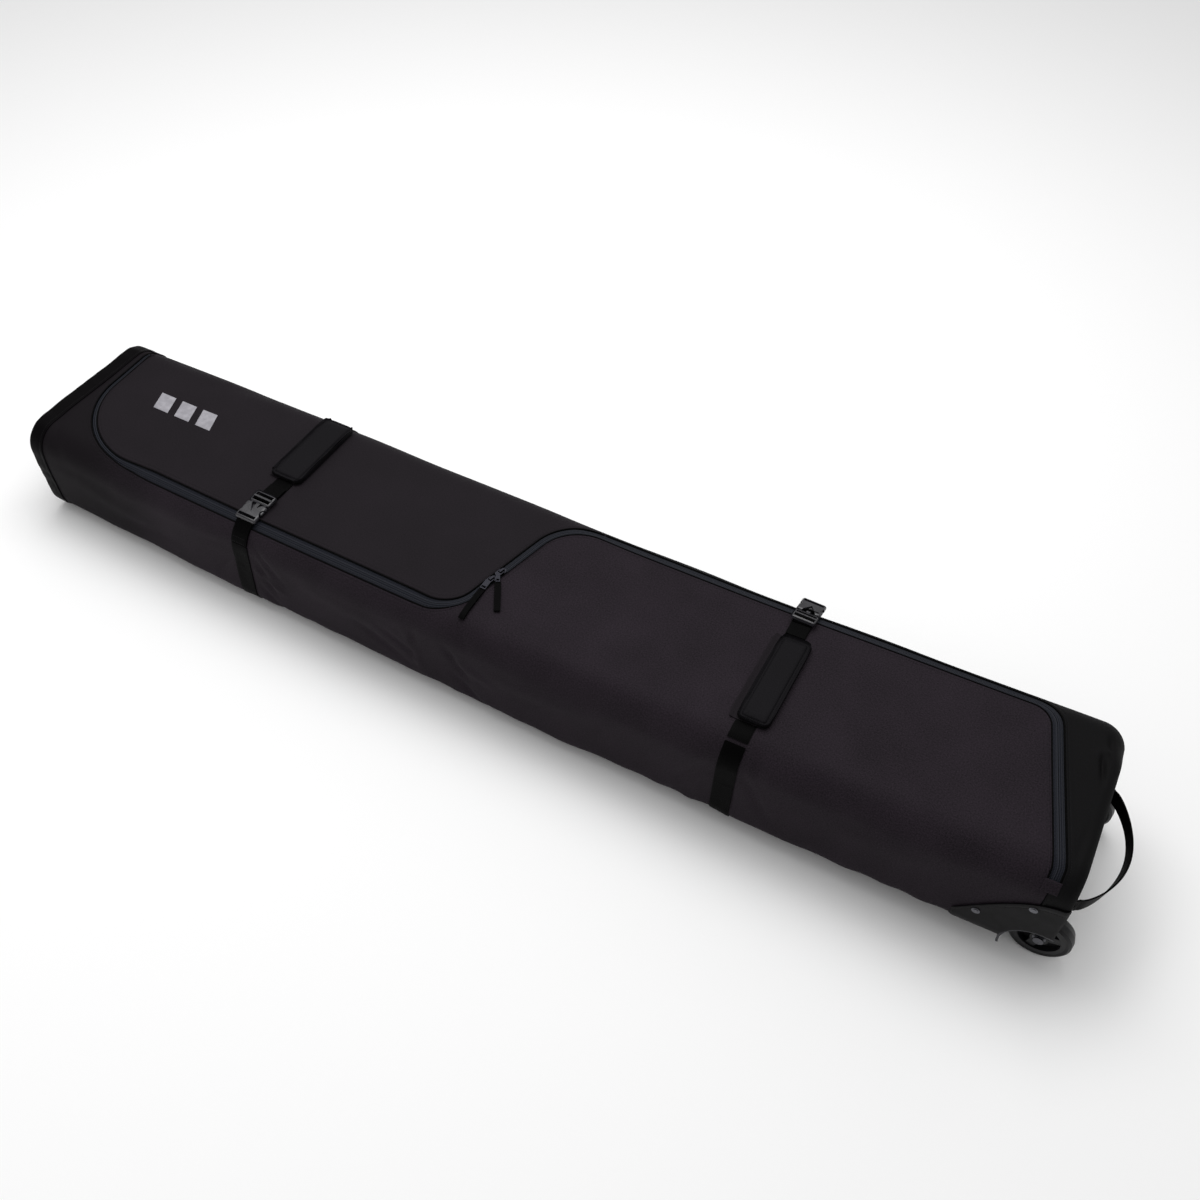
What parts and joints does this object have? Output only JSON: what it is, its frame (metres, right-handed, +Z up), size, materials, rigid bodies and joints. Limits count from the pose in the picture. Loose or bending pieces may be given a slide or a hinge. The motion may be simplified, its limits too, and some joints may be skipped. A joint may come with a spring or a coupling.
{
  "type": "snowboard bag",
  "caption": "Long padded wheeled bag for a snowboard, with two zipped lids on top, two buckled carrying straps and a webbing pull handle at the wheel end.",
  "frame": {"origin": "middle of the whole bag's box, on the surface it stands on", "axes": "+X along the bag towards the wheels and the end handle, +Y to the far side where the left lid folds, +Z up"},
  "size_m": [1.78, 0.3091, 0.2141],
  "materials": {
    "cloth_warm": "woven polyester, black with a warm violet cast, matt",
    "cloth_plain": "woven polyester, neutral black, matt",
    "foam": "closed-cell foam sheet",
    "floor_sheet": "extruded polyethylene sheet",
    "webbing": "woven nylon webbing, slightly shiny",
    "zip_tape": "knitted polyester tape and coil, slate grey",
    "zip_metal": "die-cast zinc, gunmetal enamel",
    "emblem": "moulded silver-grey rubber",
    "guard": "coated ballistic cloth",
    "buckle": "moulded acetal, satin grey",
    "arch": "moulded polypropylene, grey",
    "hub": "moulded nylon, black",
    "tyre": "moulded polyurethane, black",
    "steel": "zinc-plated steel"
  },
  "bodies": {
    "bag": {"base_shell": "cloth_plain", "base_foam": "foam", "base_stiffener": "floor_sheet", "near_wall": "cloth_warm", "near_wall_foam": "foam", "far_wall": "cloth_warm", "far_wall_foam": "foam", "nose_panel": "cloth_warm", "nose_binding": "webbing", "nose_top_strip": "cloth_warm", "wheel_end_panel": "cloth_plain", "wheel_end_top_strip": "cloth_plain", "zip_tape_near": "zip_tape", "zip_tape_far": "zip_tape", "zip_end_tabs": "webbing", "left_strap_near": "webbing", "left_strap_far": "webbing", "right_strap_near": "webbing", "right_strap_far": "webbing", "corner_guard_near": "guard", "corner_guard_far": "guard", "wheel_arch_near": "arch", "wheel_arch_far": "arch", "guard_rivets": "steel", "axle_near": "steel", "axle_far": "steel", "end_handle_tabs": "webbing"},
    "left_lid": {"left_lid": "cloth_plain", "left_lid_foam": "foam", "left_lid_zip_tape": "zip_tape", "left_lid_emblem": "emblem", "left_strap_top": "webbing", "left_carry_pad": "cloth_plain"},
    "right_lid": {"right_lid": "cloth_warm", "right_lid_foam": "foam", "right_lid_zip_tape": "zip_tape", "right_strap_top": "webbing", "right_carry_pad": "cloth_plain"},
    "left_plug": {"left_buckle_plug": "buckle"},
    "right_plug": {"right_buckle_plug": "buckle"},
    "left_socket": {"left_buckle_socket": "buckle", "left_socket_loop": "webbing"},
    "right_socket": {"right_buckle_socket": "buckle", "right_socket_loop": "webbing"},
    "left_slider": {"left_slider": "zip_metal"},
    "right_slider": {"right_slider": "zip_metal"},
    "left_pull": {"left_pull_link": "zip_metal", "left_pull_tab": "webbing"},
    "right_pull": {"right_pull_link": "zip_metal", "right_pull_tab": "webbing"},
    "end_handle": {"end_handle": "webbing"},
    "wheel_near": {"wheel_near_hub": "hub", "wheel_near_tyre": "tyre", "wheel_near_bearings": "steel"},
    "wheel_far": {"wheel_far_hub": "hub", "wheel_far_tyre": "tyre", "wheel_far_bearings": "steel"}
  },
  "joints": [
    {"name": "left_lid_hinge", "type": "hinge", "parent": "bag", "child": "left_lid", "pos_m": [-0.425, 0.1306, 0.16475], "axis": [-1, 0, 0], "range_deg": [0, 110]},
    {"name": "right_lid_hinge", "type": "hinge", "parent": "bag", "child": "right_lid", "pos_m": [0.358, -0.1306, 0.18459], "axis": [0.9989, 0, 0.0464], "range_deg": [0, 110]},
    {"name": "left_plug_release", "type": "slide", "parent": "left_lid", "child": "left_plug", "axis": [0, 0.9962, 0.0872], "range_m": [0, 0.035]},
    {"name": "right_plug_release", "type": "slide", "parent": "right_lid", "child": "right_plug", "axis": [0, -0.9511, 0.309], "range_m": [0, 0.035]},
    {"name": "left_socket_fold", "type": "hinge", "parent": "bag", "child": "left_socket", "pos_m": [-0.452, -0.15019, 0.13833], "axis": [1, 0, 0], "range_deg": [0, 130]},
    {"name": "right_socket_fold", "type": "hinge", "parent": "bag", "child": "right_socket", "pos_m": [0.377, 0.15082, 0.15344], "axis": [-0.9986, 0, -0.0527], "range_deg": [0, 130]},
    {"name": "left_slider_travel", "type": "slide", "parent": "right_lid", "child": "left_slider", "axis": [-0.2406, -0.9706, 0], "range_m": [0, 0.03]},
    {"name": "right_slider_travel", "type": "slide", "parent": "right_lid", "child": "right_slider", "axis": [0.2406, 0.9706, 0], "range_m": [0, 0.07]},
    {"name": "left_pull_lift", "type": "hinge", "parent": "left_slider", "child": "left_pull", "pos_m": [-0.06003, -0.04044, 0.17327], "axis": [-0.9706, 0.2406, 0], "range_deg": [0, 150]},
    {"name": "right_pull_lift", "type": "hinge", "parent": "right_slider", "child": "right_pull", "pos_m": [-0.05497, -0.02006, 0.17332], "axis": [-0.9706, 0.2406, 0], "range_deg": [0, 150]},
    {"name": "end_handle_flop", "type": "hinge", "parent": "bag", "child": "end_handle", "pos_m": [0.847, -0.02, 0.132], "axis": [0, 1, 0], "range_deg": [-20, 20]},
    {"name": "near_wheel_spin", "type": "hinge", "parent": "bag", "child": "wheel_near", "pos_m": [0.829, -0.113, 0.043], "axis": [0, 1, 0], "continuous": true},
    {"name": "far_wheel_spin", "type": "hinge", "parent": "bag", "child": "wheel_far", "pos_m": [0.829, 0.113, 0.043], "axis": [0, 1, 0], "continuous": true}
  ]
}
